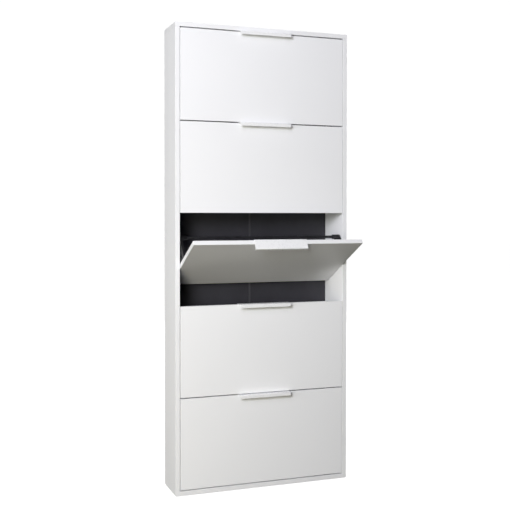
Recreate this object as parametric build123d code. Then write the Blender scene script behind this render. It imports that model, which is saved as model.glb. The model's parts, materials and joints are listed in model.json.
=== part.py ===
"""Tall, slim shoe cabinet with five tip-out flaps, one of them standing open.

+X is to the right, +Y goes to the back, +Z is up. The origin is on the floor, at the middle of
the carcass's footprint. Millimetres. Flap 1 is the top one.

Each flap turns about a pin at mid thickness of its board. The pieces of a flap are drawn closed,
with the turning axis as their origin, and then moved to their place by hang().
"""
from build123d import *
import os

# ---- driving dimensions ----
HEIGHT, WIDTH, DEPTH = 1700.0, 680.0, 155.0
BOARD = 16.0                 # melamine board, carcass and flaps
BACK = 3.0                   # hardboard back
EDGE = 0.8                   # rounding of the edge bands

GLIDE = 2.0                  # thickness of the glides under the cabinet
GLIDE_RADIUS, GLIDE_ROUND = 7.0, 0.8
GLIDE_STEM, GLIDE_STEM_LENGTH = 2.5, 12.0
GLIDE_INSET = 12.0           # from the front and rear edges of a side

FLAPS = 5
GAP = 4.0                    # above, between and below the flaps
SIDE_GAP = 2.0               # beside a flap
PIVOT_UP = 139.0             # turning axis above a flap's lower edge
OPEN_ANGLE = 61.5            # degrees from closed to the stop
OPEN_FLAP = 3                # the flap that stands open

HANDLE_WIDTH = 200.0
HANDLE_SHEET = 2.0
HANDLE_REACH = 20.0          # in front of the flap's face
HANDLE_LIP = 13.0            # height of the front lip, sheet included
HANDLE_FLANGE = 14.0         # height of the screwed rear flange, sheet included
HANDLE_BEND = 2.5            # outer radius of its bends

ROD = 5.0                    # outer radius of the steel tubes that hold the shoes
ROD_WALL = 1.0
RETAINING_AT = (99.0, 32.5)  # behind and above the turning axis, flap closed
HEEL_AT = ((28.0, -118.0), (58.0, -104.0))
SOCKET = 8.5                 # radius of a rod's socket
LONG_SOCKET, SHORT_SOCKET = 25.0, 14.0
ROD_FIT, ROD_END_PLAY = 0.05, 1.0

PLATE = 3.0                  # thickness of the bracket's plate and foot
PLATE_INSET = 1.0            # plate behind the flap's side edge
FOOT_WIDTH = 22.0
FOOT_LOW, FOOT_HIGH, FOOT_CORNER = -124.0, 60.0, 4.0
RIM, RIM_HEIGHT = 2.0, 7.0

PIN, PIN_LENGTH, PIN_OUT = 2.5, 30.0, 8.0
PIN_FIT = 0.05               # running clearance of the pivot pin
BUSH, BUSH_FLANGE = 4.0, 6.0
BUSH_DEPTH, BUSH_FLANGE_THICK, BORE_DEPTH = 9.0, 1.0, 8.0

STOP_RADIUS = 66.0           # from the turning axis to the stop pin
STOP_PIN, STOP_OUT, STOP_IN = 4.0, 8.0, 8.0
STOP_FIT = 0.3
STOP_POINT = 0.8

CAM, CAM_DEPTH, CAM_BACKSET = 7.5, 12.5, 34.0
CAM_RECESS = 0.5             # bottom cams behind the underside
CROSS_LENGTH, CROSS_WIDTH, CROSS_DEPTH = 8.0, 2.4, 2.0
BOLT, BOLT_HEAD, BOLT_HEAD_LENGTH, BOLT_GRIP = 3.0, 3.5, 3.0, 11.0
BOLT_SPACE = 1.0             # around the bolt, inside a cam
BOLT_HOLE = 4.0
DOWEL, DOWEL_LENGTH, DOWEL_IN_FACE = 4.0, 30.0, 10.0
DOWEL_POINT = 0.8
CAM_INSETS = (32.0, 120.0)   # from the front edge
DOWEL_INSETS = (60.0, 92.0)
HOLE_FIT = 0.05

NAIL, NAIL_HEAD, NAIL_HEAD_THICK, NAIL_LENGTH = 0.9, 2.2, 0.8, 22.0
NAILS_UP, NAIL_END = 8, 60.0  # along a side, and from its ends
NAILS_ACROSS = (60.0, 160.0, 260.0)
BACK_INSET = 1.0             # back panels inside the carcass's outline
STRIP_FLANGE, STRIP_THICK, STRIP_WEB = 7.0, 0.8, 1.2

WALL_BRACKET_X = 200.0
WALL_BRACKET_WIDTH, WALL_BRACKET_LEG, WALL_BRACKET_SHEET = 30.0, 30.0, 2.0
WALL_HOLE, WALL_HOLE_DOWN = 3.5, 18.0
WALL_SCREW_IN = 20.0         # from the carcass's rear to the screw in the top panel

SCREW, SCREW_HEAD, SCREW_HEAD_HIGH, SCREW_GRIP = 1.75, 3.5, 2.4, 11.0
BRACKET_SCREWS = (-100.0, -30.0, 45.0)
HANDLE_SCREWS = (-80.0, 0.0, 80.0)
WINDOW = 7.0                 # corner radius of a bracket's window
WINDOW_CORNERS = ((26.0, -20.0), (26.0, 30.0), (46.0, 14.0))

# ---- places worked out from them ----
HALF = WIDTH / 2
FRONT = -DEPTH / 2
CARCASS_BACK = DEPTH / 2 - BACK
INNER = HALF - BOARD                       # inner face of a side
SIDE_TOP = HEIGHT - BOARD
FLOOR_TOP = GLIDE + BOARD                  # upper face of the bottom panel
FLAP_HEIGHT = (SIDE_TOP - FLOOR_TOP - (FLAPS + 1) * GAP) / FLAPS
FLAP_HALF = INNER - SIDE_GAP
HALF_BOARD = BOARD / 2
BOTTOM_MIDDLE = GLIDE + HALF_BOARD
PIVOT_Y = FRONT + HALF_BOARD
FLAP_TOP = FLAP_HEIGHT - PIVOT_UP          # above the turning axis
PLATE_OUT = FLAP_HALF - PLATE_INSET        # outer face of a bracket
PLATE_IN = PLATE_OUT - PLATE
SIDES = {"left": -1, "right": 1}


def pivot_z(number):
    """Height of the turning axis of a flap."""
    return SIDE_TOP - number * (FLAP_HEIGHT + GAP) + PIVOT_UP


def hang(part, number):
    """Moves a piece from the turning axis to its flap's place, tipped out on the open flap."""
    angle = OPEN_ANGLE if number == OPEN_FLAP else 0.0
    return Location((0, PIVOT_Y, pivot_z(number)), (angle, 0, 0)) * part


# ---- simple shapes between limits ----
def block(x, y, z):
    """A box from pairs of limits, in any order."""
    low = [min(pair) for pair in (x, y, z)]
    size = [abs(pair[1] - pair[0]) for pair in (x, y, z)]
    corner = (Align.MIN, Align.MIN, Align.MIN)
    return Pos(*low) * Box(*size, align=corner)


def round_x(radius, x0, x1, y, z):
    return Pos((x0 + x1) / 2, y, z) * Rot(0, 90, 0) * Cylinder(radius, abs(x1 - x0))


def round_y(radius, x, y0, y1, z):
    return Pos(x, (y0 + y1) / 2, z) * Rot(90, 0, 0) * Cylinder(radius, abs(y1 - y0))


def round_z(radius, x, y, z0, z1):
    return Pos(x, y, (z0 + z1) / 2) * Cylinder(radius, abs(z1 - z0))


def mirrored(part, sign):
    """The piece itself on the right, its mirror image on the left."""
    return part if sign > 0 else mirror(part, Plane.YZ)


def banded(board):
    """Rounds a board's edges, as its edge bands are."""
    return fillet(board.edges(), EDGE)


# ---- carcass joints ----
def joint_places(insets):
    return [FRONT + inset for inset in insets]


def top_bolt(sign, y, grow=0.0):
    """Bolt hanging from the top panel into a side's upper edge; its head is in the cam."""
    x = sign * (HALF - HALF_BOARD)
    head_z = SIDE_TOP - CAM_BACKSET
    shank = round_z(BOLT + grow, x, y, head_z, SIDE_TOP + BOLT_GRIP)
    return shank + round_z(BOLT_HEAD + grow, x, y, head_z - BOLT_HEAD_LENGTH, head_z)


def bottom_bolt(sign, y, grow=0.0):
    """Bolt from a side into the end of the bottom panel."""
    head_x = INNER - CAM_BACKSET
    shank = round_x(BOLT + grow, sign * head_x, sign * (INNER + BOLT_GRIP), y, BOTTOM_MIDDLE)
    head_end = head_x - BOLT_HEAD_LENGTH
    return shank + round_x(BOLT_HEAD + grow, sign * head_end, sign * head_x, y, BOTTOM_MIDDLE)


def top_cam(sign, y, grow=0.0):
    z = SIDE_TOP - CAM_BACKSET
    return round_x(CAM + grow, sign * INNER, sign * (INNER + CAM_DEPTH), y, z)


def bottom_cam(sign, y, grow=0.0, recess=CAM_RECESS):
    return round_z(CAM + grow, sign * (INNER - CAM_BACKSET), y, GLIDE + recess, GLIDE + CAM_DEPTH)


def cam_locks():
    """Eccentric nuts of zinc, each with the bolt's slot and a cross for the screwdriver."""
    locks = []
    cross = (CROSS_LENGTH / 2, CROSS_WIDTH / 2)
    for sign in SIDES.values():
        for y in joint_places(CAM_INSETS):
            lock = top_cam(sign, y) - top_bolt(sign, y, BOLT_SPACE)
            z = SIDE_TOP - CAM_BACKSET
            for half_y, half_z in (cross, cross[::-1]):
                lock -= block((sign * INNER, sign * (INNER + CROSS_DEPTH)),
                              (y - half_y, y + half_y), (z - half_z, z + half_z))
            locks.append(lock)
            lock = bottom_cam(sign, y) - bottom_bolt(sign, y, BOLT_SPACE)
            x, z = sign * (INNER - CAM_BACKSET), (GLIDE, GLIDE + CROSS_DEPTH)
            for half_x, half_y in (cross, cross[::-1]):
                lock -= block((x - half_x, x + half_x), (y - half_y, y + half_y), z)
            locks.append(lock)
    return locks


def cam_bolts():
    bolts = []
    for sign in SIDES.values():
        for y in joint_places(CAM_INSETS):
            bolts += [top_bolt(sign, y), bottom_bolt(sign, y)]
    return bolts


def top_dowel(sign, y, grow=0.0):
    x = sign * (HALF - HALF_BOARD)
    high = SIDE_TOP + DOWEL_IN_FACE
    return round_z(DOWEL + grow, x, y, high - DOWEL_LENGTH - grow, high + grow)


def bottom_dowel(sign, y, grow=0.0):
    end = INNER + DOWEL_IN_FACE
    return round_x(DOWEL + grow, sign * (end - DOWEL_LENGTH - grow), sign * (end + grow), y, BOTTOM_MIDDLE)


def dowels():
    pegs = []
    for sign in SIDES.values():
        for y in joint_places(DOWEL_INSETS):
            pegs += [top_dowel(sign, y), bottom_dowel(sign, y)]
    return [chamfer(peg.edges(), DOWEL_POINT) for peg in pegs]


# ---- carcass boards ----
def nail_places():
    """X and Z of every nail, on the rear edges of the sides, the top and the bottom."""
    places = []
    pitch = (HEIGHT - 2 * NAIL_END) / (NAILS_UP - 1)
    for sign in SIDES.values():
        for step in range(NAILS_UP):
            places.append((sign * (HALF - HALF_BOARD), NAIL_END + step * pitch))
        for x in NAILS_ACROSS:
            places += [(sign * x, BOTTOM_MIDDLE), (sign * x, HEIGHT - HALF_BOARD)]
    return places


def nail(x, z, grow=0.0):
    rear = DEPTH / 2
    shank = round_y(NAIL + grow, x, rear - NAIL_LENGTH, rear, z)
    return shank + round_y(NAIL_HEAD + grow, x, rear - NAIL_HEAD_THICK, rear, z)


def nail_holes(chosen):
    """Holes of the nails that chosen(x, z) picks."""
    return [nail(x, z, HOLE_FIT) for x, z in nail_places() if chosen(x, z)]


def side_panel(sign):
    board = banded(block((sign * INNER, sign * HALF), (FRONT, CARCASS_BACK), (GLIDE, SIDE_TOP)))
    for number in range(1, FLAPS + 1):
        z = pivot_z(number)
        board -= round_x(BUSH, sign * INNER, sign * (INNER + BUSH_DEPTH), PIVOT_Y, z)
        board -= round_x(STOP_PIN, sign * INNER, sign * (INNER + STOP_IN), PIVOT_Y + STOP_RADIUS, z)
    for y in joint_places(CAM_INSETS):
        board -= top_cam(sign, y, HOLE_FIT)
        board -= round_z(BOLT_HOLE, sign * (HALF - HALF_BOARD), y, SIDE_TOP - CAM_BACKSET, SIDE_TOP)
        board -= bottom_bolt(sign, y)
    for y in joint_places(DOWEL_INSETS):
        board -= top_dowel(sign, y, HOLE_FIT) + bottom_dowel(sign, y, HOLE_FIT)
    for hole in nail_holes(lambda x, z: x * sign > INNER):
        board -= hole
    for x, y in glide_places():
        if x * sign > INNER:
            board -= glide_stem(x, y, HOLE_FIT)
    return board


def top_panel():
    """Lies over the sides."""
    board = banded(block((-HALF, HALF), (FRONT, CARCASS_BACK), (SIDE_TOP, HEIGHT)))
    for sign in SIDES.values():
        for y in joint_places(CAM_INSETS):
            board -= top_bolt(sign, y)
        for y in joint_places(DOWEL_INSETS):
            board -= top_dowel(sign, y, HOLE_FIT)
    for hole in nail_holes(lambda x, z: z > SIDE_TOP):
        board -= hole
    for sign in SIDES.values():
        board -= wall_bracket_screw(sign)
    return board


def bottom_panel():
    """Fits between the sides, flush with their lower ends."""
    board = banded(block((-INNER, INNER), (FRONT, CARCASS_BACK), (GLIDE, FLOOR_TOP)))
    for sign in SIDES.values():
        for y in joint_places(CAM_INSETS):
            board -= bottom_cam(sign, y, HOLE_FIT, recess=0.0)
            board -= round_x(BOLT_HOLE, sign * (INNER - CAM_BACKSET), sign * INNER, y, BOTTOM_MIDDLE)
        for y in joint_places(DOWEL_INSETS):
            board -= bottom_dowel(sign, y, HOLE_FIT)
    for hole in nail_holes(lambda x, z: z < FLOOR_TOP):
        board -= hole
    for x, y in glide_places():
        if abs(x) < INNER:
            board -= glide_stem(x, y, HOLE_FIT)
    return board


def back_panel(sign):
    """One half of the back, nailed on the rear edges, with the hole for the wall screw."""
    middle = sign * (STRIP_WEB / 2 + HOLE_FIT)
    sheet = block((middle, sign * (HALF - BACK_INSET)), (CARCASS_BACK, DEPTH / 2),
                  (GLIDE + BACK_INSET, HEIGHT - BACK_INSET))
    for hole in nail_holes(lambda x, z: x * sign > 0):
        sheet -= hole
    return sheet - wall_screw_hole(sign)


def back_joint_strip():
    """T-shaped plastic strip over the joint of the two back panels."""
    z = (FLOOR_TOP + BACK_INSET, SIDE_TOP - BACK_INSET)
    flange = block((-STRIP_FLANGE / 2, STRIP_FLANGE / 2), (CARCASS_BACK - STRIP_THICK, CARCASS_BACK), z)
    return flange + block((-STRIP_WEB / 2, STRIP_WEB / 2), (CARCASS_BACK, DEPTH / 2), z)


# ---- glides that the cabinet stands on ----
def glide_places():
    """X and Y of the glides: two under each side, one under the middle of the bottom panel."""
    ends = (FRONT + GLIDE_INSET, CARCASS_BACK - GLIDE_INSET)
    return [(sign * (HALF - HALF_BOARD), y) for sign in SIDES.values() for y in ends] + [(0.0, 0.0)]


def glide_stem(x, y, grow=0.0):
    return round_z(GLIDE_STEM + grow, x, y, GLIDE, GLIDE + GLIDE_STEM_LENGTH + grow)


def glide(x, y):
    """Plastic disc with a stem that is pushed into the board above."""
    disc = round_z(GLIDE_RADIUS, x, y, 0, GLIDE)
    return fillet(disc.edges().group_by(Axis.Z)[0], GLIDE_ROUND) + glide_stem(x, y)


# ---- wall fixing, under the top panel ----
def wall_screw_hole(sign):
    front = CARCASS_BACK - 2 * WALL_BRACKET_SHEET
    return round_y(WALL_HOLE, sign * WALL_BRACKET_X, front, DEPTH / 2, SIDE_TOP - WALL_HOLE_DOWN)


def wall_bracket(sign):
    """Steel angle against the top panel and the back."""
    x = [sign * WALL_BRACKET_X + side * WALL_BRACKET_WIDTH / 2 for side in (-1, 1)]
    low = SIDE_TOP - WALL_BRACKET_LEG
    angle = block(x, (CARCASS_BACK - WALL_BRACKET_LEG, CARCASS_BACK), (low, SIDE_TOP))
    angle -= block(x, (CARCASS_BACK - WALL_BRACKET_LEG, CARCASS_BACK - WALL_BRACKET_SHEET),
                   (low, SIDE_TOP - WALL_BRACKET_SHEET))
    return angle - wall_screw_hole(sign) - wall_bracket_screw(sign, HOLE_FIT)


def wall_bracket_screw(sign, grow=0.0):
    """Pan-head screw up into the top panel."""
    x, y = sign * WALL_BRACKET_X, CARCASS_BACK - WALL_SCREW_IN
    under = SIDE_TOP - WALL_BRACKET_SHEET
    shank = round_z(SCREW + grow, x, y, under, SIDE_TOP + SCREW_GRIP)
    return shank + round_z(SCREW_HEAD, x, y, under - SCREW_HEAD_HIGH, under)


# ---- fixed hardware of the flaps ----
def pivot_bushes(sign):
    """Plastic bushes in a side, one for each flap."""
    bushes = []
    for number in range(1, FLAPS + 1):
        z = pivot_z(number)
        bush = round_x(BUSH, sign * INNER, sign * (INNER + BUSH_DEPTH), PIVOT_Y, z)
        bush += round_x(BUSH_FLANGE, sign * (INNER - BUSH_FLANGE_THICK), sign * INNER, PIVOT_Y, z)
        mouth = INNER - BUSH_FLANGE_THICK
        bushes.append(bush - round_x(PIN + PIN_FIT, sign * mouth, sign * (mouth + BORE_DEPTH), PIVOT_Y, z))
    return bushes


def stop_pins(sign):
    """Steel pins in a side that run in the brackets' slots."""
    pins = []
    for number in range(1, FLAPS + 1):
        pin = round_x(STOP_PIN, sign * (INNER - STOP_OUT), sign * (INNER + STOP_IN),
                      PIVOT_Y + STOP_RADIUS, pivot_z(number))
        free_end = pin.edges().group_by(Axis.X)[0 if sign > 0 else -1]
        pins.append(chamfer(free_end, STOP_POINT))
    return pins


# ---- pieces of one flap, about its turning axis ----
def flap_screw(x, z, seat, grow=0.0):
    """Pan-head screw from behind into the board, its head on a sheet whose rear face is at seat."""
    shank = round_y(SCREW + grow, x, HALF_BOARD - SCREW_GRIP, seat, z)
    return shank + round_y(SCREW_HEAD, x, seat, seat + SCREW_HEAD_HIGH, z)


def foot_middle():
    return PLATE_OUT - FOOT_WIDTH / 2


def handle_flange_middle():
    return FLAP_TOP + HANDLE_SHEET - HANDLE_FLANGE / 2


def flap_screws(grow=0.0):
    screws = []
    for sign in SIDES.values():
        for z in BRACKET_SCREWS:
            screws.append(flap_screw(sign * foot_middle(), z, HALF_BOARD + PLATE, grow))
    for x in HANDLE_SCREWS:
        screws.append(flap_screw(x, handle_flange_middle(), HALF_BOARD + HANDLE_SHEET, grow))
    return screws


def flap_panel():
    board = banded(block((-FLAP_HALF, FLAP_HALF), (-HALF_BOARD, HALF_BOARD), (-PIVOT_UP, FLAP_TOP)))
    for screw in flap_screws():
        board -= screw
    for pin in pivot_pins():
        board -= pin
    return board


def handle():
    """Steel sheet over the top edge: a screwed flange behind, a lip to pull in front."""
    top = FLAP_TOP + HANDLE_SHEET
    front = -HALF_BOARD - HANDLE_REACH
    rear = HALF_BOARD + HANDLE_SHEET
    with BuildPart() as sheet:
        with BuildSketch(Plane.YZ):
            with BuildLine():
                FilletPolyline((rear, top - HANDLE_FLANGE), (rear, top), (front, top),
                               (front, top - HANDLE_LIP), radius=HANDLE_BEND)
                offset(amount=HANDLE_SHEET, side=Side.LEFT, mode=Mode.ADD)
            make_face()
        extrude(amount=HANDLE_WIDTH / 2, both=True)
    part = sheet.part
    for x in HANDLE_SCREWS:
        part -= flap_screw(x, handle_flange_middle(), rear, HOLE_FIT)
    return part


def bracket_outline(inset=0.0):
    """Side view of a bracket: a hull around the rod sockets and the foot."""
    heights = (FOOT_LOW + FOOT_CORNER, FOOT_HIGH - FOOT_CORNER)
    rounds = [(place, SOCKET) for place in (RETAINING_AT, *HEEL_AT)]
    rounds += [((HALF_BOARD + FOOT_CORNER, height), FOOT_CORNER) for height in heights]
    discs = [Pos(*place) * Circle(radius - inset) for place, radius in rounds]
    return make_hull(Sketch(children=discs).edges())


def stop_slot():
    """Curved slot for the stop pin, from closed to open."""
    path = CenterArc((0, 0), STOP_RADIUS, -OPEN_ANGLE, OPEN_ANGLE)
    return SlotArc(path, 2 * (STOP_PIN + STOP_FIT))


def bracket_window():
    """Opening between the foot and the slot."""
    discs = [Pos(*corner) * Circle(WINDOW) for corner in WINDOW_CORNERS]
    return make_hull(Sketch(children=discs).edges())


def across(x):
    """Plane across the bracket at a distance from the middle of the cabinet."""
    return Plane.YZ.offset(x)


def bracket(sign):
    """Moulded end piece of a flap, drawn for the right end."""
    face = bracket_outline() - stop_slot() - bracket_window()
    body = extrude(across(PLATE_IN) * face, amount=PLATE)
    rim = bracket_outline() - bracket_outline(RIM)
    body += extrude(across(PLATE_IN) * rim, amount=-RIM_HEIGHT)
    foot_x = (PLATE_OUT - FOOT_WIDTH, PLATE_OUT)
    foot = block(foot_x, (HALF_BOARD, HALF_BOARD + PLATE), (FOOT_LOW, FOOT_HIGH))
    body += fillet(foot.edges().filter_by(Axis.Y), FOOT_CORNER - 1)
    sockets = [(RETAINING_AT, LONG_SOCKET)] + [(place, SHORT_SOCKET) for place in HEEL_AT]
    for (y, z), length in sockets:
        body += round_x(SOCKET, PLATE_IN - length, PLATE_IN, y, z)
    for (y, z), length in sockets:
        body -= round_x(ROD + ROD_FIT, PLATE_IN - length, PLATE_IN, y, z)
    for z in BRACKET_SCREWS:
        body -= flap_screw(foot_middle(), z, HALF_BOARD + PLATE, HOLE_FIT)
    return mirrored(body, sign)


def rod(place):
    """Steel tube from bracket to bracket."""
    end = PLATE_IN - ROD_END_PLAY
    return round_x(ROD, -end, end, *place) - round_x(ROD - ROD_WALL, -end, end, *place)


def heel_rods():
    return [rod(place) for place in HEEL_AT]


def pivot_pins():
    """Steel pins in the flap's side edges."""
    pins = []
    for sign in SIDES.values():
        inner_end = FLAP_HALF + PIN_OUT - PIN_LENGTH
        pins.append(round_x(PIN, sign * inner_end, sign * (FLAP_HALF + PIN_OUT), 0, 0))
    return pins


# ---- files ----
def save(name, part):
    """Writes one node: a solid, or a group of alike solids."""
    shape = Compound(children=part) if isinstance(part, list) else part
    export_step(shape, f"parts/{name}.step")


def save_carcass():
    save("top_panel", top_panel())
    save("bottom_panel", bottom_panel())
    save("back_joint_strip", back_joint_strip())
    save("floor_glides", [glide(x, y) for x, y in glide_places()])
    save("cam_locks", cam_locks())
    save("cam_bolts", cam_bolts())
    save("dowels", dowels())
    save("back_nails", [nail(x, z) for x, z in nail_places()])
    save("wall_brackets", [wall_bracket(sign) for sign in SIDES.values()])
    save("wall_bracket_screws", [wall_bracket_screw(sign) for sign in SIDES.values()])
    for side, sign in SIDES.items():
        save(f"side_panel_{side}", side_panel(sign))
        save(f"back_panel_{side}", back_panel(sign))
        save(f"pivot_bushes_{side}", pivot_bushes(sign))
        save(f"stop_pins_{side}", stop_pins(sign))


def save_flaps():
    """The five flaps are alike, so each piece is made once and hung five times."""
    pieces = {
        "panel": flap_panel(),
        "handle": handle(),
        "bracket_left": bracket(SIDES["left"]),
        "bracket_right": bracket(SIDES["right"]),
        "retaining_rod": rod(RETAINING_AT),
        "heel_rods": heel_rods(),
        "pivot_pins": pivot_pins(),
        "screws": flap_screws(),
    }
    for number in range(1, FLAPS + 1):
        for name, piece in pieces.items():
            solids = piece if isinstance(piece, list) else [piece]
            hung = [hang(solid, number) for solid in solids]
            save(f"flap_{number}_{name}", hung if len(hung) > 1 else hung[0])


os.makedirs("parts", exist_ok=True)
save_carcass()
save_flaps()
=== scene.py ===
"""The shoe cabinet's looks: materials, fine pieces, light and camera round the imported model.

Metres, in the row's frame: +X right, +Y back, +Z up, origin on the floor. A flap's own pieces are
made in its local frame, whose origin is the turning axis, with +Y behind the flap and +Z up it.
"""
import json
from math import cos, pi, radians, sin

import bmesh
import bpy
from mathutils import Matrix, Vector


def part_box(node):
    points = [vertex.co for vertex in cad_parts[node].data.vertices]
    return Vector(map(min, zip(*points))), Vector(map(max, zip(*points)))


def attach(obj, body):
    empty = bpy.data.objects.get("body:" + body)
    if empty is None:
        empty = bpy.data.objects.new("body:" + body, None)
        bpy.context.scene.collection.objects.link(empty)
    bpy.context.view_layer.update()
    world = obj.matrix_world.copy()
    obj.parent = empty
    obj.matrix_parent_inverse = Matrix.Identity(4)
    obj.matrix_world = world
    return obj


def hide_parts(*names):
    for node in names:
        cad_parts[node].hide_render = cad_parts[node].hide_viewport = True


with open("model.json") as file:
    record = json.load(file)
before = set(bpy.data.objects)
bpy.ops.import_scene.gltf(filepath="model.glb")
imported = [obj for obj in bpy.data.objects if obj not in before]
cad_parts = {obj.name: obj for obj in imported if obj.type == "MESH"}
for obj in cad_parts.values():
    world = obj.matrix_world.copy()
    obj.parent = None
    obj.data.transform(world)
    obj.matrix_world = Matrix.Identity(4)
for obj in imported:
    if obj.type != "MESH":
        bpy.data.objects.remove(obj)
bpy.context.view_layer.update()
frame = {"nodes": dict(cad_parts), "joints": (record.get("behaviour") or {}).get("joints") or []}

MM = 0.001
NODES = frame["nodes"]

# ---- directions, in the row's frame and in a flap's own ----
RIGHT, LEFT = (1, 0, 0), (-1, 0, 0)
BACK, FORWARD = (0, 1, 0), (0, -1, 0)
UP, DOWN = (0, 0, 1), (0, 0, -1)

# ---- sizes taken from the frame ----
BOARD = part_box("top_panel")[1].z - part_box("top_panel")[0].z
CARCASS_LOW, CARCASS_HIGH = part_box("side_panel_left")[0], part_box("top_panel")[1]
FRONT, REAR = CARCASS_LOW.y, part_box("side_panel_left")[1].y
HEIGHT = CARCASS_HIGH.z
FLAP_COUNT = len(frame["joints"])

# ---- edge bands ----
BAND = 1.0 * MM              # thickness
BAND_PROUD = 0.06 * MM       # how far a band stands over its board
BAND_ROUND = 0.8 * MM        # radius of its long edges
BAND_STEPS = 4               # flats round each of those edges

# ---- screw heads ----
SCREW_HEAD = 3.5 * MM        # radius
SCREW_DOME = 2.4 * MM        # height
SCREW_RIM = 0.35 * MM        # height of the upright rim under the dome
SCREW_FOOT = 0.985           # radius where the rim starts, as a share of the head's
SCREW_CROWN = 0.62           # below 1, the dome is flatter on top than a ball
SCREW_TIP = 0.02 * MM        # smallest radius at the top of the dome
CROSS_ARM = 2.1 * MM         # the cross recess, from the middle to the end of an arm
CROSS_HALF = 0.55 * MM       # half the width of an arm
CROSS_DEPTH = 1.3 * MM
CROSS_SHALLOW = 0.35         # depth at an arm's end, as a share of the depth in the middle
SCREW_TURN = 37              # degrees from one screw's cross to the next one's

# ---- stiffening ribs of the end brackets ----
PLATE = 3.0 * MM             # thickness of a bracket's plate
FOOT = 3.0 * MM              # and of its foot
RIB_REACH = 9.0 * MM         # from the plate along the foot
RIB_TALL = 12.0 * MM         # from the foot along the plate
RIB_THICK = 1.8 * MM
RIB_SOFT = 0.4 * MM          # cut off the rib's thin ends
RIB_HEIGHTS = (-78 * MM, -52 * MM, 8 * MM, 26 * MM)

# ---- bevels on CAD nodes ----
BRACKET_BEVEL = 0.35 * MM
SHEET_BEVEL = 0.3 * MM       # handles and wall angles
SHARP_ANGLE = radians(40)
WELD_DISTANCE = 0.005 * MM

# ---- floor ----
FLOOR_RADIUS = 40.0
FLOOR_RINGS, FLOOR_SEGMENTS = 12, 96
FLOOR_DROP = 0.2 * MM        # under the glides
GLOW_FROM, GLOW_TO = 0.84, 1.03         # distances from the origin between which the glow grows
GLOW_NEAR, GLOW_AWAY = 0.6, 2.6         # its strength inside and outside those

# ---- camera ----
LENS, SENSOR = 58.375, 36    # millimetres
SHIFT_RIGHT, SHIFT_UP = 0.0634, -0.0490
CAMERA_AT = (-1.1405, -2.9202, 1.0036)
CAMERA_TURN = (89.11, 0, -18.987)       # degrees about X, Y and Z
FARTHEST = 200


# ---------------------------------------------------------------- materials
class Shader:
    """A node material: principled shader, object coordinates and a few helpers."""

    def __init__(self, name, color, roughness, metallic=0.0, specular=0.5, coat=0.0):
        self.material = bpy.data.materials.new(name)
        self.material.use_nodes = True
        self.tree = self.material.node_tree
        self.surface = self.tree.nodes["Principled BSDF"]
        self.surface.inputs["Base Color"].default_value = (*color, 1)
        self.surface.inputs["Roughness"].default_value = roughness
        self.surface.inputs["Metallic"].default_value = metallic
        self.surface.inputs["Specular IOR Level"].default_value = specular
        self.surface.inputs["Coat Weight"].default_value = coat
        self.surface.inputs["Coat Roughness"].default_value = 0.2
        self.place = self.node("ShaderNodeTexCoord").outputs["Object"]
        self.normal = self.node("ShaderNodeNewGeometry").outputs["True Normal"]

    def node(self, kind, **values):
        made = self.tree.nodes.new(kind)
        for key, value in values.items():
            setattr(made, key, value)
        return made

    def link(self, source, target):
        self.tree.links.new(source, target)

    def stretched(self, scale):
        """Object coordinates stretched along the axes."""
        mapping = self.node("ShaderNodeMapping")
        mapping.inputs["Scale"].default_value = scale
        self.link(self.place, mapping.inputs["Vector"])
        return mapping.outputs["Vector"]

    def noise(self, scale, detail=2.0, place=None, rough=0.5):
        """Noise about 0.5, at a scale in cycles per metre of the place it is given."""
        noise = self.node("ShaderNodeTexNoise")
        noise.inputs["Scale"].default_value = scale
        noise.inputs["Detail"].default_value = detail
        noise.inputs["Roughness"].default_value = rough
        self.link(place or self.place, noise.inputs["Vector"])
        return noise.outputs["Fac"]

    def span(self, value, low, high, start=0.3, stop=0.7):
        """Maps start..stop to low..high, held at the ends."""
        ramp = self.node("ShaderNodeMapRange")
        ramp.inputs["From Min"].default_value = start
        ramp.inputs["From Max"].default_value = stop
        ramp.inputs["To Min"].default_value = low
        ramp.inputs["To Max"].default_value = high
        self.link(value, ramp.inputs["Value"])
        return ramp.outputs["Result"]

    def blend(self, factor, first, second):
        """Colour between two colours or colour outputs."""
        mix = self.node("ShaderNodeMix", data_type="RGBA")
        for socket, value in ((mix.inputs[6], first), (mix.inputs[7], second)):
            if isinstance(value, tuple):
                socket.default_value = (*value, 1)
            else:
                self.link(value, socket)
        self.link(factor, mix.inputs[0])
        return mix.outputs[2]

    def mottle(self, noise, first, second, start=0.3, stop=0.7):
        """Colour that a noise takes from the first to the second."""
        return self.blend(self.span(noise, 0, 1, start, stop), first, second)

    def facing(self, axis, sign, limit=0.9):
        """1 where the surface faces one way along an axis, else 0."""
        split = self.node("ShaderNodeSeparateXYZ")
        self.link(self.normal, split.inputs[0])
        test = self.node("ShaderNodeMath", operation="GREATER_THAN" if sign > 0 else "LESS_THAN")
        test.inputs[1].default_value = sign * limit
        self.link(split.outputs["XYZ".index(axis)], test.inputs[0])
        return test.outputs[0]

    def tint(self, color):
        self.link(color, self.surface.inputs["Base Color"])

    def gloss(self, noise, low, high):
        """Roughness that a noise takes from low to high."""
        self.link(self.span(noise, low, high), self.surface.inputs["Roughness"])

    def bumps(self, *layers):
        """Layers of (height output, strength, depth in metres), one on the other."""
        normal = None
        for height, strength, depth in layers:
            bump = self.node("ShaderNodeBump")
            bump.inputs["Strength"].default_value = strength
            bump.inputs["Distance"].default_value = depth
            self.link(height, bump.inputs["Height"])
            if normal is not None:
                self.link(normal, bump.inputs["Normal"])
            normal = bump.outputs["Normal"]
        self.link(normal, self.surface.inputs["Normal"])


def shade(color, factor):
    return tuple(channel * factor for channel in color)


def chipboard(shader):
    """Colour of a raw board edge: pressed wood chips."""
    dark_chip = (0.42, 0.29, 0.17)
    pale_chip = (0.62, 0.47, 0.30)
    return shader.mottle(shader.noise(420, detail=4, rough=0.7), dark_chip, pale_chip, 0.35, 0.65)


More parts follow.
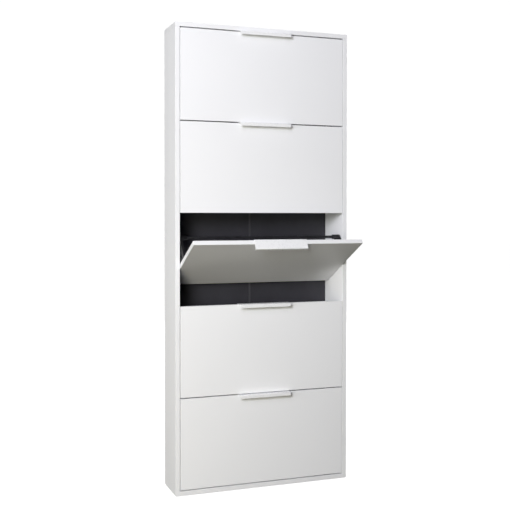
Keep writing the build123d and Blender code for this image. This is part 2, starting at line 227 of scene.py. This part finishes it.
def melamine(name, raw_sides=()):
    """White melamine: a pearl-like grain, cloudy sheen, and raw chipboard where no band covers it."""
    white = (0.83, 0.835, 0.855)
    shader = Shader(name, white, 0.5)
    cloud = shader.noise(5, detail=3)
    grain = shader.noise(1400)
    color = shader.mottle(cloud, shade(white, 0.985), white)
    color = shader.mottle(grain, color, shade(white, 0.99))
    for axis, sign in raw_sides:
        color = shader.blend(shader.facing(axis, sign), color, chipboard(shader))
    shader.tint(color)
    shader.gloss(shader.noise(60, detail=4), 0.45, 0.57)
    shader.bumps((grain, 0.25, 0.02 * MM), (shader.noise(18), 0.06, 0.4 * MM))
    return shader.material


def edge_band():
    """Plastic edge band: a little smoother and darker than the board."""
    shader = Shader("edge_band", (0.81, 0.815, 0.835), 0.45)
    dull_white = (0.795, 0.80, 0.82)
    clear_white = (0.82, 0.825, 0.842)
    shader.gloss(shader.noise(90, detail=3), 0.40, 0.50)
    shader.tint(shader.mottle(shader.noise(9, detail=3), dull_white, clear_white))
    shader.bumps((shader.noise(900), 0.2, 0.015 * MM))
    return shader.material


def powder_coat():
    """White powder coat on the handles, with orange peel."""
    shader = Shader("white_powder_coat", (0.82, 0.825, 0.84), 0.3)
    dull_white = (0.80, 0.805, 0.82)
    clear_white = (0.825, 0.83, 0.845)
    peel = shader.noise(700)
    shader.gloss(shader.noise(150, detail=3), 0.24, 0.36)
    shader.tint(shader.mottle(shader.noise(30, detail=3), dull_white, clear_white))
    shader.bumps((peel, 0.06, 0.02 * MM))
    return shader.material


def dark_back():
    """Anthracite lacquer inside, raw brown fibreboard outside."""
    anthracite = (0.033, 0.032, 0.040)
    dark_fibre = (0.27, 0.165, 0.095)
    pale_fibre = (0.42, 0.285, 0.175)
    stain = (0.24, 0.15, 0.088)
    shader = Shader("anthracite_back", anthracite, 0.6, specular=0.3)
    fibres = shader.noise(1, detail=6, place=shader.stretched((700, 700, 260)), rough=0.65)
    cloud = shader.noise(7, detail=3)
    lacquer = shader.mottle(cloud, shade(anthracite, 0.85), shade(anthracite, 1.12))
    raw = shader.mottle(fibres, dark_fibre, pale_fibre)
    raw = shader.blend(shader.span(cloud, 0, 0.35), raw, stain)
    shader.tint(shader.blend(shader.facing("Y", 1), lacquer, raw))
    shader.gloss(shader.noise(40, detail=4), 0.52, 0.68)
    shader.bumps((fibres, 0.2, 0.05 * MM))
    return shader.material


def moulded(name, color, roughness, specular=0.5):
    """Moulded plastic with an eroded texture."""
    shader = Shader(name, color, roughness, specular=specular)
    texture = shader.noise(1500, detail=3, rough=0.6)
    cloud = shader.noise(45, detail=3)
    shader.tint(shader.mottle(cloud, shade(color, 0.85), shade(color, 1.15)))
    shader.gloss(texture, roughness - 0.07, roughness + 0.09)
    shader.bumps((texture, 0.35, 0.04 * MM))
    return shader.material


def black_paint():
    """Thin black paint on drawn steel tube, with faint lines along it."""
    black = (0.016, 0.016, 0.018)
    shader = Shader("black_paint", black, 0.28, specular=0.4, coat=0.15)
    lines = shader.noise(1, detail=3, place=shader.stretched((12, 1400, 1400)))
    shader.tint(shader.mottle(shader.noise(50, detail=3), shade(black, 0.8), shade(black, 1.4)))
    shader.gloss(lines, 0.22, 0.36)
    shader.bumps((lines, 0.15, 0.02 * MM))
    return shader.material


def bare_metal(name, color, roughness, streaks):
    """Plated or cast metal with streaks and a little tarnish."""
    shader = Shader(name, color, roughness, metallic=1.0)
    brushed = shader.noise(1, detail=4, place=shader.stretched(streaks))
    tarnish = shader.noise(300, detail=4)
    shader.tint(shader.mottle(tarnish, color, shade(color, 0.7), 0.45, 0.8))
    shader.gloss(brushed, roughness - 0.08, roughness + 0.12)
    shader.bumps((brushed, 0.2, 0.02 * MM))
    return shader.material


def beech():
    """Beech dowels with grain along them."""
    shader = Shader("beech", (0.62, 0.45, 0.28), 0.6)
    dark_wood = (0.50, 0.34, 0.19)
    pale_wood = (0.68, 0.50, 0.32)
    grain = shader.noise(1, detail=5, place=shader.stretched((90, 1200, 90)))
    shader.tint(shader.mottle(grain, dark_wood, pale_wood))
    shader.bumps((grain, 0.3, 0.05 * MM))
    return shader.material


def floor_material():
    """Pale studio floor that glows, more so away from the cabinet, and fades into the background."""
    shader = Shader("studio_floor", (0.5, 0.5, 0.5), 0.9, specular=0.0)
    shader.surface.inputs["Emission Color"].default_value = (1, 1, 1, 1)
    reach = shader.node("ShaderNodeVectorMath", operation="LENGTH")
    shader.link(shader.place, reach.inputs[0])
    glow = shader.span(reach.outputs["Value"], GLOW_FROM, GLOW_TO, GLOW_NEAR, GLOW_AWAY)
    shader.link(glow, shader.surface.inputs["Emission Strength"])
    shader.gloss(shader.noise(3, detail=3), 0.85, 0.95)
    return shader.material


def make_materials():
    return {
        "side": melamine("white_melamine_sides", (("Y", 1), ("Z", -1), ("Z", 1))),
        "shelf": melamine("white_melamine_top_and_bottom", (("Y", 1),)),
        "flap": melamine("white_melamine_flaps"),
        "band": edge_band(),
        "handle": powder_coat(),
        "back": dark_back(),
        "strip": moulded("grey_joint_strip", (0.050, 0.049, 0.056), 0.45),
        "black": moulded("black_moulding", (0.008, 0.008, 0.009), 0.46, specular=0.3),
        "nylon": moulded("white_nylon", (0.74, 0.74, 0.73), 0.4),
        "rod": black_paint(),
        "steel": bare_metal("zinc_plated_steel", (0.60, 0.61, 0.63), 0.32, (900, 60, 900)),
        "zinc": bare_metal("die_cast_zinc", (0.50, 0.50, 0.51), 0.42, (300, 300, 300)),
        "beech": beech(),
        "floor": floor_material(),
    }


MATERIALS = make_materials()

# how a node's name starts, after flap_N_ on a flap's node, and its material
CAD_LOOKS = {
    "side_panel": "side",
    "top_panel": "shelf",
    "bottom_panel": "shelf",
    "back_panel": "back",
    "back_joint": "strip",
    "back_nails": "steel",
    "floor_glides": "nylon",
    "cam_locks": "zinc",
    "cam_bolts": "steel",
    "dowels": "beech",
    "wall_bracket": "steel",
    "pivot_bushes": "nylon",
    "stop_pins": "steel",
    "panel": "flap",
    "handle": "handle",
    "bracket": "black",
    "retaining": "rod",
    "heel": "rod",
    "pivot_pins": "steel",
    "screws": "steel",
}


def look_of(node):
    """The material that a CAD node gets, from how its name starts."""
    short = node.split("_", 2)[2] if node.startswith("flap_") else node
    return next(look for start, look in CAD_LOOKS.items() if short.startswith(start))


def dress_cad_nodes():
    for name, node in NODES.items():
        material = MATERIALS[look_of(name)]
        if not node.material_slots:
            node.data.materials.append(material)
        for slot in node.material_slots:
            slot.material = material


def soften(node, width):
    """Small bevels on a CAD node's sharp edges."""
    weld = node.modifiers.new("weld", "WELD")
    weld.merge_threshold = WELD_DISTANCE
    bevel = node.modifiers.new("bevel", "BEVEL")
    bevel.width = width
    bevel.segments = 2
    bevel.limit_method = "ANGLE"
    bevel.angle_limit = SHARP_ANGLE
    bevel.harden_normals = True


# ---------------------------------------------------------------- meshes
def piece(name, points, faces, look, body, smooth=False):
    """A mesh object that rides on a body."""
    mesh = bpy.data.meshes.new(name)
    mesh.from_pydata([tuple(point) for point in points], [], faces)
    mesh.validate()
    made = bmesh.new()
    made.from_mesh(mesh)
    bmesh.ops.recalc_face_normals(made, faces=made.faces)
    made.to_mesh(mesh)
    made.free()
    if smooth:
        mesh.shade_smooth()
    thing = bpy.data.objects.new(name, mesh)
    bpy.context.scene.collection.objects.link(thing)
    mesh.materials.append(MATERIALS[look])
    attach(thing, body)
    return thing


class Builder:
    """Collects the points and faces of one piece."""

    def __init__(self):
        self.points = []
        self.faces = []

    def add(self, points, faces, place):
        start = len(self.points)
        self.points += [place @ Vector(point) for point in points]
        self.faces += [[start + corner for corner in face] for face in faces]

    def finish(self, name, look, body, smooth=False):
        return piece(name, self.points, self.faces, look, body, smooth)


def arc(centre, radius, start, stop, steps):
    """Points (u, v) of an arc, with angles in degrees."""
    turns = [radians(start + (stop - start) * step / steps) for step in range(steps + 1)]
    return [(centre[0] + radius * cos(turn), centre[1] + radius * sin(turn)) for turn in turns]


def prism(profile, length):
    """A closed profile (y, z) drawn out along X, centred on it."""
    count = len(profile)
    points = [(side * length / 2, y, z) for side in (-1, 1) for y, z in profile]
    faces = [[i, (i + 1) % count, count + (i + 1) % count, count + i] for i in range(count)]
    return points, faces + [list(range(count))[::-1], list(range(count, 2 * count))]


def lathe(profile, segments):
    """A profile of (radius, height) turned about Z, its ends closed by a point each."""
    points, faces = [], []
    for radius, height in profile:
        for step in range(segments):
            turn = 2 * pi * step / segments
            points.append((radius * cos(turn), radius * sin(turn), height))
    for ring in range(len(profile) - 1):
        for step in range(segments):
            after = (step + 1) % segments
            row, upper = ring * segments, (ring + 1) * segments
            faces.append([row + step, row + after, upper + after, upper + step])
    for row, end in ((0, profile[0][1]), ((len(profile) - 1) * segments, profile[-1][1])):
        middle = len(points)
        points.append((0, 0, end))
        faces += [[row + step, row + (step + 1) % segments, middle] for step in range(segments)]
    return points, faces


def corners_of(points):
    """Lowest and highest corner of the box round some points."""
    low = Vector(min(point[axis] for point in points) for axis in range(3))
    high = Vector(max(point[axis] for point in points) for axis in range(3))
    return low, high


# ---------------------------------------------------------------- edge bands
def band_profile():
    """Section of an edge band whose outer face looks up, its board below it."""
    reach = BOARD / 2 - BAND_ROUND
    radius = BAND_ROUND + BAND_PROUD
    left = arc((-reach, -BAND_ROUND), radius, 180, 90, BAND_STEPS)
    right = arc((reach, -BAND_ROUND), radius, 90, 0, BAND_STEPS)
    side = BOARD / 2 + BAND_PROUD
    return [(-side, -BAND), *left, *right, (side, -BAND)]


def band_place(centre, outward, along):
    """Matrix that sets a band's middle at centre, facing outward, drawn out along a direction."""
    x, z = Vector(along), Vector(outward)
    y = z.cross(x)
    return Matrix.Translation(centre) @ Matrix((x, y, z)).transposed().to_4x4()


def add_bands(made, bands, place):
    """Adds bands, each given by its length, middle, outward direction and long direction."""
    for length, centre, outward, along in bands:
        points, faces = prism(band_profile(), length - 2 * BAND_ROUND)
        made.add(points, faces, place @ band_place(centre, outward, along))


def carcass_bands():
    """Bands on the front edges, and on the two ends of the top panel."""
    middle_x = CARCASS_HIGH.x - BOARD / 2
    middle_y = (FRONT + REAR) / 2
    low, side_top = CARCASS_LOW.z, HEIGHT - BOARD
    bands = []
    for sign in (-1, 1):
        bands.append((side_top - low, (sign * middle_x, FRONT, (side_top + low) / 2), FORWARD, UP))
    bands.append((2 * CARCASS_HIGH.x, (0, FRONT, HEIGHT - BOARD / 2), FORWARD, RIGHT))
    bands.append((2 * (CARCASS_HIGH.x - BOARD), (0, FRONT, low + BOARD / 2), FORWARD, RIGHT))
    for sign, outward in ((-1, LEFT), (1, RIGHT)):
        end = (sign * CARCASS_HIGH.x, middle_y, HEIGHT - BOARD / 2)
        bands.append((REAR - FRONT, end, outward, BACK))
    made = Builder()
    add_bands(made, bands, Matrix.Identity(4))
    made.finish("carcass_edge_bands", "band", "cabinet")


# ---------------------------------------------------------------- flaps
def flap_place(number):
    """Matrix from a flap's own frame, flap upright, to the row's frame at rest."""
    joint = next(j for j in frame["joints"] if j["child"] == f"flap_{number}")
    tilt = -radians(joint["range_deg"][0])
    return Matrix.Translation(joint["pos_m"]) @ Matrix.Rotation(tilt, 4, "X")


def local_box(node, number):
    """Lowest and highest corner of a CAD node in its flap's own frame."""
    back = flap_place(number).inverted()
    return corners_of([back @ vertex.co for vertex in NODES[node].data.vertices])


def flap_bands(number):
    """Bands round the four edges of a flap's board."""
    low, high = local_box(f"flap_{number}_panel", number)
    middle = (low + high) / 2
    width, height = high.x - low.x, high.z - low.z
    bands = [
        (width, (0, 0, high.z), UP, RIGHT),
        (width, (0, 0, low.z), DOWN, RIGHT),
        (height, (low.x, 0, middle.z), LEFT, UP),
        (height, (high.x, 0, middle.z), RIGHT, UP),
    ]
    made = Builder()
    add_bands(made, bands, flap_place(number))
    made.finish(f"flap_{number}_edge_bands", "band", f"flap_{number}")


def bracket_ribs(number, side):
    """Stiffening ribs from a bracket's foot to its plate."""
    sign = 1 if side == "right" else -1
    low, high = local_box(f"flap_{number}_bracket_{side}", number)
    plate_in = (high.x if sign > 0 else -low.x) - PLATE
    foot_rear = low.y + FOOT
    outline = [
        (0, 0),
        (-RIB_REACH, 0),
        (-RIB_REACH + RIB_SOFT, RIB_SOFT),
        (-RIB_SOFT * 3, RIB_TALL - RIB_SOFT),
        (0, RIB_TALL),
    ]
    points, faces = prism(outline, RIB_THICK)
    standing = [(sign * out, back, along) for along, out, back in points]
    made = Builder()
    for height in RIB_HEIGHTS:
        corner = Matrix.Translation((sign * plate_in, foot_rear, height))
        made.add(standing, faces, flap_place(number) @ corner)
    made.finish(f"flap_{number}_bracket_ribs_{side}", "black", f"flap_{number}")


def dress_flap(number):
    body = f"flap_{number}"
    flap_bands(number)
    screw_heads(f"{body}_screws", f"{body}_screw_heads", body, FORWARD, flap_place(number))
    for side in ("left", "right"):
        bracket_ribs(number, side)
        soften(NODES[f"{body}_bracket_{side}"], BRACKET_BEVEL)
    soften(NODES[f"{body}_handle"], SHEET_BEVEL)


# ---------------------------------------------------------------- screws
def islands(node):
    """The separate solids of a CAD node, each as a list of its points."""
    mesh = NODES[node].data
    key = [tuple(round(c, 6) for c in vertex.co) for vertex in mesh.vertices]
    group = {point: point for point in key}

    def root(point):
        while group[point] != point:
            group[point] = group[group[point]]
            point = group[point]
        return point

    for polygon in mesh.polygons:
        first = root(key[polygon.vertices[0]])
        for corner in polygon.vertices[1:]:
            group[root(key[corner])] = first
    found = {}
    for point in group:
        found.setdefault(root(point), []).append(Vector(point))
    return list(found.values())


def screw_head():
    """Pan head with a cross recess, standing on Z = 0."""
    segments, rings = 48, 14
    profile = [(SCREW_HEAD * SCREW_FOOT, 0.0), (SCREW_HEAD, SCREW_RIM)]
    for step in range(1, rings + 1):
        turn = pi / 2 * step / rings
        radius = SCREW_HEAD * cos(turn) ** SCREW_CROWN
        profile.append((max(radius, SCREW_TIP), SCREW_RIM + (SCREW_DOME - SCREW_RIM) * sin(turn)))
    points, faces = lathe(profile, segments)
    sunk = []
    for x, y, z in points:
        near, far = sorted((abs(x), abs(y)))
        in_cross = near < CROSS_HALF and far < CROSS_ARM and z > SCREW_DOME * 0.5
        deeper = (1 - CROSS_SHALLOW) * (1 - far / CROSS_ARM)
        down = CROSS_DEPTH * (CROSS_SHALLOW + deeper) if in_cross else 0.0
        sunk.append((x, y, z - down))
    return sunk, faces


def screw_heads(node, name, body, inward, place=Matrix.Identity(4)):
    """Detailed heads for the screws of a CAD node; inward is the way they were driven."""
    made = Builder()
    points, faces = screw_head()
    back = place.inverted()
    drive = Vector(inward)
    turned = drive.rotation_difference(Vector(DOWN)).inverted().to_matrix().to_4x4()
    for number, solid in enumerate(islands(node)):
        local = [back @ point for point in solid]
        head = min(point.dot(drive) for point in local)
        low, high = corners_of(local)
        centre = (low + high) / 2
        seat = centre + drive * (head + SCREW_DOME - centre.dot(drive))
        spin = Matrix.Rotation(radians(SCREW_TURN * number), 4, "Z")
        made.add(points, faces, place @ Matrix.Translation(seat) @ turned @ spin)
    heads = made.finish(name, "steel", body, smooth=True)
    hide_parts(node)


# ---------------------------------------------------------------- stage, light, camera
def make_floor():
    """A large floor disc, whose rings lie closer together near the middle."""
    points = [(0, 0, 0)]
    for ring in range(1, FLOOR_RINGS + 1):
        reach = FLOOR_RADIUS * (ring / FLOOR_RINGS) ** 2
        for step in range(FLOOR_SEGMENTS):
            turn = 2 * pi * step / FLOOR_SEGMENTS
            points.append((reach * cos(turn), reach * sin(turn), 0))
    faces = [[0, 1 + step, 1 + (step + 1) % FLOOR_SEGMENTS] for step in range(FLOOR_SEGMENTS)]
    for ring in range(FLOOR_RINGS - 1):
        row = 1 + ring * FLOOR_SEGMENTS
        outer = row + FLOOR_SEGMENTS
        for step in range(FLOOR_SEGMENTS):
            after = (step + 1) % FLOOR_SEGMENTS
            faces.append([row + step, outer + step, outer + after, row + after])
    mesh = bpy.data.meshes.new("floor")
    mesh.from_pydata(points, [], faces)
    floor = bpy.data.objects.new("floor", mesh)
    bpy.context.scene.collection.objects.link(floor)
    mesh.materials.append(MATERIALS["floor"])
    floor.location.z = -FLOOR_DROP
    floor.visible_diffuse = False
    floor.visible_glossy = False


def softbox(name, place, target, size, power, color=(1, 1, 1)):
    """A square area light that looks at a point."""
    data = bpy.data.lights.new(name, "AREA")
    data.shape = "SQUARE"
    data.size = size
    data.energy = power
    data.color = color
    light = bpy.data.objects.new(name, data)
    bpy.context.scene.collection.objects.link(light)
    light.location = place
    light.rotation_euler = (Vector(target) - Vector(place)).to_track_quat("-Z", "Y").to_euler()
    light.visible_camera = False


def make_lights():
    """Key and fill from the left and the front, as in the photograph, and light for the other sides."""
    softbox("key_left_front", (-2.5, -3.3, 2.15), (0, 0, 1.1), size=1.2, power=131, color=(0.96, 0.97, 1.0))
    softbox("key_high", (-1.2, -2.6, 3.2), (0, 0, 1.2), size=1.3, power=24, color=(0.87, 0.83, 1.0))
    softbox("fill_left", (-4.2, -2.1, 1.5), (0, 0, 0.95), size=1.8, power=38, color=(0.88, 0.91, 1.0))
    softbox("fill_left_low", (-3.4, -0.4, 0.7), (0, 0, 0.6), size=1.6, power=25, color=(1.0, 0.98, 0.90))
    softbox("fill_front_low", (-2.2, -3.4, 0.9), (0, 0, 0.9), size=1.2, power=44, color=(0.99, 0.98, 0.80))
    softbox("bounce_low", (-1.4, -1.3, 0.08), (-0.2, -0.2, 0.9), size=0.6, power=3.5, color=(1.0, 0.8, 0.4))
    softbox("above_behind", (0.5, 1.5, 3.8), (0, 0, 1.6), size=2.0, power=60)
    softbox("right_side", (4.2, 0.6, 1.6), (0, 0, 0.9), size=2.2, power=120)
    softbox("rear", (1.0, 4.2, 1.8), (0, 0, 0.9), size=2.4, power=130)


def make_world():
    """White background that only the camera sees, so that it adds no light to the cabinet."""
    world = bpy.data.worlds.new("studio")
    bpy.context.scene.world = world
    world.use_nodes = True
    background = world.node_tree.nodes["Background"]
    background.inputs["Color"].default_value = (1, 1, 1, 1)
    background.inputs["Strength"].default_value = 1.02
    for ray in ("diffuse", "glossy", "transmission", "scatter"):
        setattr(world.cycles_visibility, ray, False)


def make_camera():
    """Camera to the left of the cabinet, a little above its middle, almost level."""
    data = bpy.data.cameras.new("camera")
    data.lens = LENS
    data.sensor_width = SENSOR
    data.shift_x, data.shift_y = SHIFT_RIGHT, SHIFT_UP
    data.clip_end = FARTHEST
    camera = bpy.data.objects.new("camera", data)
    bpy.context.scene.collection.objects.link(camera)
    camera.location = CAMERA_AT
    camera.rotation_euler = [radians(angle) for angle in CAMERA_TURN]
    bpy.context.scene.camera = camera


make_camera()
make_world()
make_lights()
make_floor()
dress_cad_nodes()
carcass_bands()
for flap in range(1, FLAP_COUNT + 1):
    dress_flap(flap)
screw_heads("wall_bracket_screws", "wall_bracket_screw_heads", "cabinet", UP)
soften(NODES["wall_brackets"], SHEET_BEVEL)
bpy.context.scene.view_settings.view_transform = "Standard"
